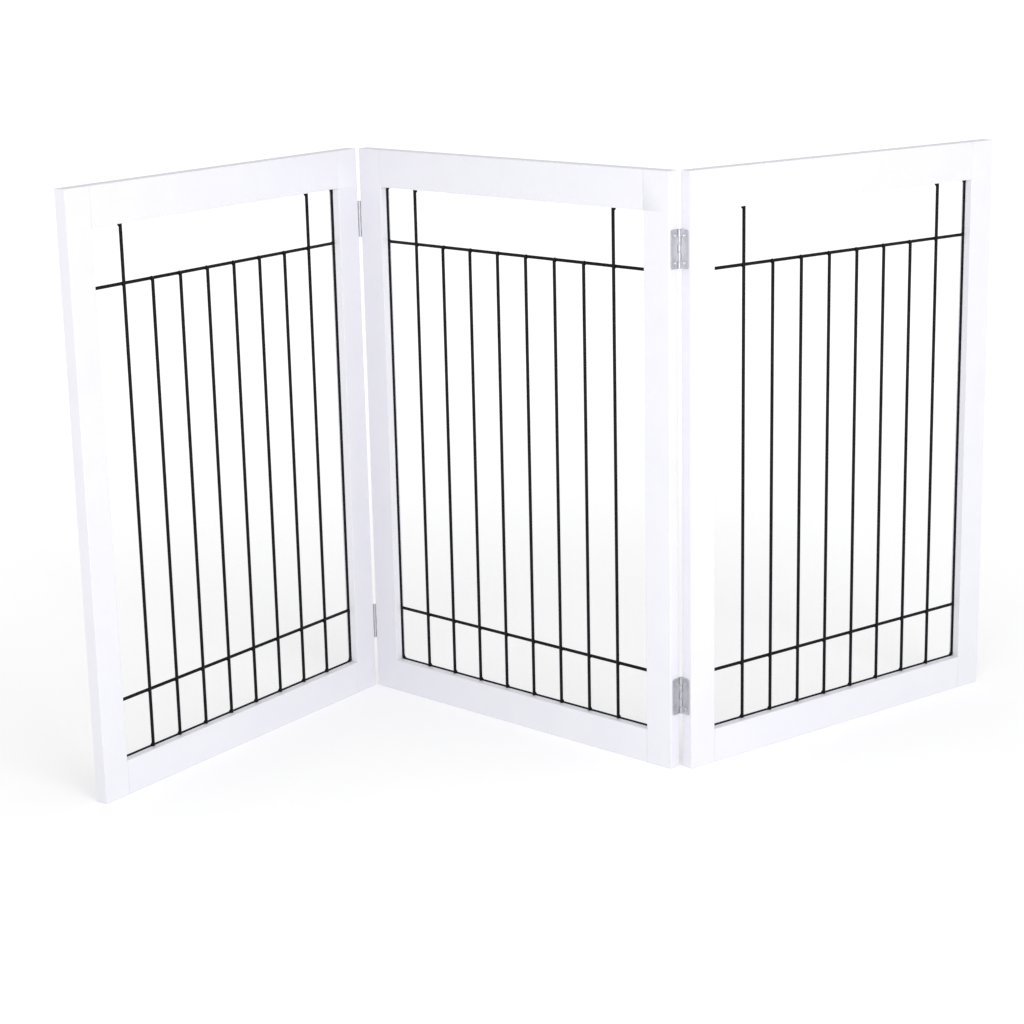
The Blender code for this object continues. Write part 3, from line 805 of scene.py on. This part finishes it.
def press_leaf(name, rolled_bands):
    """A leaf in its hinge's frame: the pin's axis is Z, and the leaf lies against wood at +X."""
    half = HINGE_HEIGHT / 2
    pitch = HINGE_HEIGHT / KNUCKLES
    middle_x = KNUCKLE_RADIUS - LEAF_THICKNESS / 2
    bpy.ops.object.select_all(action="DESELECT")
    turned = (math.pi / 2, 0, math.pi / 2)
    bpy.ops.mesh.primitive_plane_add(size=1, location=(middle_x, LEAF_REACH / 2, 0), rotation=turned)
    leaf = bpy.context.object
    leaf.name = name
    leaf.scale = (LEAF_REACH, HINGE_HEIGHT, 1)
    bpy.ops.object.transform_apply(location=True, rotation=True, scale=True)

    bpy.ops.object.mode_set(mode="EDIT")
    notches = []
    for band in range(KNUCKLES):
        if band not in rolled_bands:
            bottom = -half + band * pitch - KNUCKLE_GAP / 2
            top = -half + (band + 1) * pitch + KNUCKLE_GAP / 2
            notches.append((bottom, top))
            for height in (bottom, top):
                if abs(height) < half:
                    bisect_all((0, 0, height), (0, 0, 1))
    bisect_all((0, NOTCH_DEPTH, 0), (0, 1, 0))

    def in_notch(middle, normal):
        return middle.y < NOTCH_DEPTH and any(bottom < middle.z < top for bottom, top in notches)

    pick_faces(in_notch)
    bpy.ops.mesh.delete(type="FACE")
    pick_edges(lambda start, end: abs(start.y) + abs(end.y) < NEAR)
    bpy.ops.mesh.spin(steps=ROLL_STEPS, angle=ROLL, center=(0, 0, 0), axis=(0, 0, 1))
    bpy.ops.mesh.select_all(action="SELECT")
    bpy.ops.mesh.remove_doubles(threshold=NEAR / 10)
    bpy.ops.mesh.normals_make_consistent(inside=False)
    bpy.ops.mesh.select_mode(type="VERT")
    bpy.ops.mesh.select_all(action="DESELECT")
    shape = bmesh.from_edit_mesh(leaf.data)
    for vert in shape.verts:
        vert.select_set(vert.co.y > LEAF_REACH - NEAR and abs(vert.co.z) > half - NEAR)
    bmesh.update_edit_mesh(leaf.data)
    bpy.ops.mesh.bevel(offset=LEAF_CORNER, segments=CORNER_STEPS, profile=0.5, affect="VERTICES")
    bpy.ops.object.mode_set(mode="OBJECT")

    solid = leaf.modifiers.new("Strip thickness", "SOLIDIFY")
    solid.thickness = LEAF_THICKNESS
    solid.offset = 0
    solid.use_even_offset = True
    bpy.ops.object.modifier_apply(modifier=solid.name)
    face = KNUCKLE_RADIUS - LEAF_THICKNESS
    margin = LEAF_THICKNESS / 3
    depth = LEAF_THICKNESS + 2 * margin
    mouth = COUNTERSINK_MOUTH + margin
    for height in (-SCREW_SPACING / 2, SCREW_SPACING / 2):
        start = (face - margin, SCREW_FROM_PIN, height)
        end = (face - margin + depth, SCREW_FROM_PIN, height)
        drill = start_rod("countersink", start, end, mouth, COUNTERSINK_SIDES, end_radius=mouth - depth)
        cut(leaf, drill)
    activate(leaf)
    edges = leaf.modifiers.new("Pressed edges", "BEVEL")
    edges.width = PRESSED_EDGE
    edges.segments = 2
    edges.limit_method = "ANGLE"
    edges.angle_limit = math.radians(PRESSED_ANGLE)
    bpy.ops.object.modifier_apply(modifier=edges.name)
    shade(leaf, LEAF_SMOOTH)
    note_edges(leaf, *PRESSED_TURN)
    note_own_place(leaf)
    return leaf


def hinge_seats():
    """Each hinge's name, its side, the middle leaf's place and the outer leaf's place."""
    seats = []
    for side, axis, middle_turn, outer_turn in (
        ("left", left_axis, (0, "X"), (math.pi, "Y")),
        ("right", right_axis, (math.pi, "Z"), (math.pi, "X")),
    ):
        for level in ("lower", "upper"):
            hinge = f"{side}_{level}_hinge"
            low, high = box_in(f"{hinge}_pin", middle_place)
            pin_middle = (low + high) / 2
            middle_seat = middle_place @ Matrix.Translation(pin_middle)
            lift = Matrix.Translation((0, 0, pin_middle.z))
            middle_leaf = middle_seat @ Matrix.Rotation(middle_turn[0], 4, middle_turn[1])
            outer_leaf = axis @ lift @ Matrix.Rotation(outer_turn[0], 4, outer_turn[1])
            seats.append((hinge, side, middle_leaf, outer_leaf))
    return seats


three_knuckle_leaf = press_leaf("three_knuckle_leaf", (0, 2, 4))
two_knuckle_leaf = press_leaf("two_knuckle_leaf", (1, 3))
for hinge, side, middle_seat, outer_seat in hinge_seats():
    piece = copy_of(three_knuckle_leaf, f"{hinge}_middle_leaf_pressed")
    place_piece(piece, middle_seat, zinc, "middle_panel", f"{hinge}_middle_leaf")
    piece = copy_of(two_knuckle_leaf, f"{hinge}_{side}_leaf_pressed")
    place_piece(piece, outer_seat, zinc, f"{side}_panel", f"{hinge}_{side}_leaf")
bpy.data.objects.remove(three_knuckle_leaf, do_unlink=True)
bpy.data.objects.remove(two_knuckle_leaf, do_unlink=True)

# Hinge pins
# A steel pin holds each pair of leaves together. Both of its ends are peened over into low round heads,
# so that it can't be drawn out.
PIN_SIDES = 32
PIN_RADIUS = 0.001
PIN_HEAD_RADIUS = 0.0016
PIN_HEAD_HEIGHT = 0.0005
DOME_STEPS = 5
PIN_SMOOTH = 40


def peened_pin():
    """A pin about its own middle, with each head drawn out of the shank."""
    low, high = box_in("left_lower_hinge_pin", middle_place)
    half = (high.z - low.z) / 2
    shoulder = half - PIN_HEAD_HEIGHT
    pin = start_rod("pin", (0, 0, -shoulder), (0, 0, shoulder), PIN_RADIUS, PIN_SIDES)
    bpy.ops.object.mode_set(mode="EDIT")
    for end in (1, -1):
        pick_faces(lambda middle, normal: normal.z * end > FACING)
        radius, height = PIN_RADIUS, 0.0
        rings = [(PIN_HEAD_RADIUS, 0.0), (PIN_HEAD_RADIUS, PIN_HEAD_HEIGHT / 3)]
        for step in range(1, DOME_STEPS):
            lean = math.pi / 2 * step / DOME_STEPS
            rise = PIN_HEAD_HEIGHT / 3 + PIN_HEAD_HEIGHT * 2 / 3 * math.sin(lean)
            rings.append((PIN_HEAD_RADIUS * math.cos(lean), rise))
        rings.append((PIN_HEAD_RADIUS * 0.1, PIN_HEAD_HEIGHT))
        for next_radius, next_height in rings:
            bpy.ops.mesh.extrude_region_move(
                TRANSFORM_OT_translate={"value": (0, 0, end * (next_height - height))}
            )
            grow = next_radius / radius
            bpy.ops.transform.resize(value=(grow, grow, 1), center_override=(0, 0, end * shoulder))
            radius, height = next_radius, next_height
    bpy.ops.object.mode_set(mode="OBJECT")
    shade(pin, PIN_SMOOTH)
    note_own_place(pin)
    return pin


pin = peened_pin()
for hinge, side, middle_seat, outer_seat in hinge_seats():
    piece = copy_of(pin, f"{hinge}_pin_peened")
    place_piece(piece, middle_seat, zinc, "middle_panel", f"{hinge}_pin")
bpy.data.objects.remove(pin, do_unlink=True)

# Hinge screws
# Each leaf has two countersunk wood screws with a cross recess, a plain neck and a rolled thread that
# runs to a point. They are bright plated.
SCREW_LENGTH = 0.016
SCREW_SIDES = 32
HEAD_RADIUS = 0.0026
HEAD_RIM = 0.0001
HEAD_DOME = 0.00008
HEAD_RING = 0.15
HEAD_RISES = (0.85, 0.7, 0.5)
NECK_RADIUS = 0.0013
ROOT_RADIUS = 0.00105
CREST_RADIUS = 0.00145
NECK_LENGTH = 0.004
TAPER = 0.004
THREAD_PITCH = 0.0011
THREAD_STEPS = 20
RECESS_LENGTH = 0.003
RECESS_WIDTH = 0.0007
RECESS_DEPTH = 0.0011
RECESS_SHRINK = 0.4
SCREW_SMOOTH = 32
BRIGHT = (0.80, 0.80, 0.82)
BRIGHT_DULL = (0.62, 0.62, 0.65)


def screw_steel():
    """Bright plated wire: faint lines round the shank and scuffs where the driver sat."""
    material, tree, shader, place, edge = start_material("screw_steel", Metallic=1.0)
    film = use_group(tree, FILM, Place=place, Ripples_per_Metre=4000.0, Waves_per_Metre=900.0)
    marks = use_group(tree, MARKS, Place=place, Smudges_per_Metre=400.0, Scratches_per_Metre=5000.0)
    tint = mix_colours(tree, ranged(tree, film["Patches"], 0.0, 0.8), BRIGHT, BRIGHT_DULL)
    tree.links.new(tint, shader.inputs["Base Color"])
    gloss = ranged(tree, marks["Smudges"], 0.20, 0.36)
    tree.links.new(summed(tree, gloss, marks["Scratches"], 0.12), shader.inputs["Roughness"])
    raise_surface(tree, shader, summed(tree, film["Height"], marks["Scratches"], -0.5), 0.000008)
    return material


steel = screw_steel()


def tapered_block(length, width):
    """One arm of the cross punch, narrower at its tip."""
    arm = start_box("punch", (-length / 2, -width / 2, -OVERCUT), (length / 2, width / 2, RECESS_DEPTH))
    bpy.ops.object.mode_set(mode="EDIT")
    bisect_all((0, 0, 0), (0, 0, 1))
    pick_faces(lambda middle, normal: normal.z > FACING and middle.z > RECESS_DEPTH - NEAR)
    bpy.ops.transform.resize(value=(RECESS_SHRINK, RECESS_SHRINK, 1))
    bpy.ops.object.mode_set(mode="OBJECT")
    return arm


def thread_ridge():
    """The thread, wound up the shank from a small triangle."""
    bpy.ops.object.select_all(action="DESELECT")
    half_width = (CREST_RADIUS - ROOT_RADIUS) * 0.8
    start_z = HEAD_RIM + NECK_LENGTH
    bpy.ops.mesh.primitive_circle_add(
        vertices=3,
        radius=half_width,
        fill_type="NOTHING",
        location=(CREST_RADIUS - half_width, 0, start_z),
        rotation=(math.pi / 2, math.pi / 2, 0),
    )
    ridge = bpy.context.object
    bpy.ops.object.transform_apply(location=True, rotation=True, scale=True)
    wind = ridge.modifiers.new("Wind", "SCREW")
    wind.axis = "Z"
    wind.screw_offset = THREAD_PITCH
    wind.iterations = round((SCREW_LENGTH - TAPER - start_z) / THREAD_PITCH)
    wind.steps = THREAD_STEPS
    wind.render_steps = THREAD_STEPS
    bpy.ops.object.modifier_apply(modifier=wind.name)
    bpy.ops.object.mode_set(mode="EDIT")
    bpy.ops.mesh.select_all(action="SELECT")
    bpy.ops.mesh.fill_holes(sides=3)
    bpy.ops.mesh.normals_make_consistent(inside=False)
    bpy.ops.object.mode_set(mode="OBJECT")
    return ridge


def wood_screw():
    """A screw along +Z from the top of its head."""
    screw = start_rod("screw", (0, 0, 0), (0, 0, HEAD_RIM), HEAD_RADIUS, SCREW_SIDES)
    cone = HEAD_RADIUS - NECK_RADIUS
    bpy.ops.object.mode_set(mode="EDIT")
    pick_faces(lambda middle, normal: normal.z > FACING)
    rings = [
        (NECK_RADIUS, HEAD_RIM + cone),
        (NECK_RADIUS, HEAD_RIM + NECK_LENGTH - NECK_RADIUS / 4),
        (ROOT_RADIUS, HEAD_RIM + NECK_LENGTH),
        (ROOT_RADIUS, SCREW_LENGTH - TAPER),
        (ROOT_RADIUS * 0.55, SCREW_LENGTH - TAPER / 2),
        (ROOT_RADIUS * 0.05, SCREW_LENGTH),
    ]
    radius, height = HEAD_RADIUS, HEAD_RIM
    for next_radius, next_height in rings:
        bpy.ops.mesh.extrude_region_move(TRANSFORM_OT_translate={"value": (0, 0, next_height - height)})
        grow = next_radius / radius
        bpy.ops.transform.resize(value=(grow, grow, 1), center_override=(0, 0, next_height))
        radius, height = next_radius, next_height
    pick_faces(lambda middle, normal: normal.z < -FACING)
    for share in HEAD_RISES:
        bpy.ops.mesh.inset(thickness=HEAD_RADIUS * HEAD_RING)
        bpy.ops.transform.translate(value=(0, 0, -HEAD_DOME * share / 2))
    bpy.ops.object.mode_set(mode="OBJECT")
    cut(screw, tapered_block(RECESS_LENGTH, RECESS_WIDTH), tapered_block(RECESS_WIDTH, RECESS_LENGTH))
    ridge = thread_ridge()
    activate(screw)
    ridge.select_set(True)
    bpy.ops.object.join()
    shade(screw, SCREW_SMOOTH)
    note_own_place(screw)
    return screw


screw = wood_screw()
head_x = KNUCKLE_RADIUS - LEAF_THICKNESS
for hinge, side, middle_seat, outer_seat in hinge_seats():
    for leaf, seat, body in (
        ("middle_leaf", middle_seat, "middle_panel"),
        (f"{side}_leaf", outer_seat, f"{side}_panel"),
    ):
        for level in ("lower", "upper"):
            node = f"{hinge}_{leaf}_{level}_screw"
            low, high = box_in(node, seat)
            spot = Matrix.Translation((head_x, (low.y + high.y) / 2, (low.z + high.z) / 2))
            piece = copy_of(screw, node + "_threaded")
            driven = seat @ spot @ Matrix.Rotation(math.pi / 2, 4, "Y")
            place_piece(piece, driven, steel, body, node)
bpy.data.objects.remove(screw, do_unlink=True)

# Floor
# A wide pale floor. Its own glow grows with the distance from the gate, so that the floor fades into the
# background while the gate's contact shadow stays.
FLOOR_RADIUS = 60.0
FLOOR_SIDES = 96
FLOOR_DROP = 0.0001
FLOOR_COLOUR = (0.93, 0.93, 0.935)
FLOOR_GLOW = (0.15, 0.4)
FADE_START = 0.6
FADE_END = 2.5

bpy.ops.object.select_all(action="DESELECT")
bpy.ops.mesh.primitive_circle_add(
    vertices=FLOOR_SIDES, radius=FLOOR_RADIUS, fill_type="NGON", location=(0, 0, -FLOOR_DROP)
)
floor = bpy.context.object
floor.name = "floor"
floor_finish = bpy.data.materials.new("floor")
floor_finish.use_nodes = True
floor_shader = floor_finish.node_tree.nodes["Principled BSDF"]
floor_shader.inputs["Base Color"].default_value = (*FLOOR_COLOUR, 1.0)
floor_shader.inputs["Roughness"].default_value = 0.9
floor_shader.inputs["Specular IOR Level"].default_value = 0.0
floor_shader.inputs["Emission Color"].default_value = (1.0, 1.0, 1.0, 1.0)
floor_tree = floor_finish.node_tree
floor_place = add_node(floor_tree, "ShaderNodeTexCoord", {}).outputs["Object"]
measure = add_node(floor_tree, "ShaderNodeVectorMath", {0: floor_place}, operation="LENGTH")
glow = ranged(floor_tree, measure.outputs["Value"], *FLOOR_GLOW, FADE_START, FADE_END)
floor_tree.links.new(glow, floor_shader.inputs["Emission Strength"])
floor.data.materials.append(floor_finish)

# Light
# A white surround lights the gate from everywhere. A broad lamp stands at the front right, a softer one
# beside the camera, and a small one is held close to the gate's front fold.
SKY = 0.76
LAMPS = (
    ("key", 42.0, 2.6, (2.4, -3.6, 2.8), (0.0, 0.0, 0.35)),
    ("fill", 12.0, 1.6, (-0.6, -3.3, 1.2), (-0.2, 0.1, 0.4)),
    ("near", 2.8, 0.7, (0.2, -1.25, 0.5), (0.0, 0.0, 0.4)),
)

world = bpy.data.worlds.new("studio")
bpy.context.scene.world = world
world.use_nodes = True
surround = world.node_tree
seen = add_node(surround, "ShaderNodeLightPath", {}).outputs["Is Camera Ray"]
lit = ranged(surround, seen, SKY, 1.0, 0.0, 1.0)
background = surround.nodes["Background"]
background.inputs["Color"].default_value = (1.0, 1.0, 1.0, 1.0)
surround.links.new(lit, background.inputs["Strength"])


def hang_lamp(name, power, size, place, aim):
    """A square soft lamp turned towards a point, and itself unseen."""
    lamp = bpy.data.lights.new(name, "AREA")
    lamp.shape = "SQUARE"
    lamp.size = size
    lamp.energy = power
    stand = bpy.data.objects.new(name, lamp)
    stand.location = place
    stand.rotation_euler = (Vector(aim) - Vector(place)).to_track_quat("-Z", "Y").to_euler()
    stand.visible_camera = False
    bpy.context.scene.collection.objects.link(stand)


for lamp_settings in LAMPS:
    hang_lamp(*lamp_settings)

# Camera
# A little above the gate, looking down at it from in front, with a long lens.
CAMERA_PLACE = Vector((0.0004, -2.8566, 1.0517))
CAMERA_PAN = math.radians(-0.036)
CAMERA_TILT = math.radians(14.191)
CAMERA_ROLL = math.radians(-0.959)
LENS = 79.51
SHIFT_ACROSS = -0.0469
SHIFT_UP = -0.0166
SENSOR_WIDTH = 36.0
FARTHEST_SEEN = 200.0

camera_data = bpy.data.cameras.new("camera")
camera_data.lens = LENS
camera_data.sensor_width = SENSOR_WIDTH
camera_data.clip_end = FARTHEST_SEEN
camera_data.shift_x = SHIFT_ACROSS
camera_data.shift_y = SHIFT_UP
camera = bpy.data.objects.new("camera", camera_data)
aim = Matrix.Rotation(-CAMERA_PAN, 4, "Z") @ Matrix.Rotation(math.pi / 2 - CAMERA_TILT, 4, "X")
camera.matrix_world = Matrix.Translation(CAMERA_PLACE) @ aim @ Matrix.Rotation(CAMERA_ROLL, 4, "Z")
bpy.context.scene.collection.objects.link(camera)
bpy.context.scene.camera = camera
bpy.context.scene.view_settings.view_transform = "Standard"
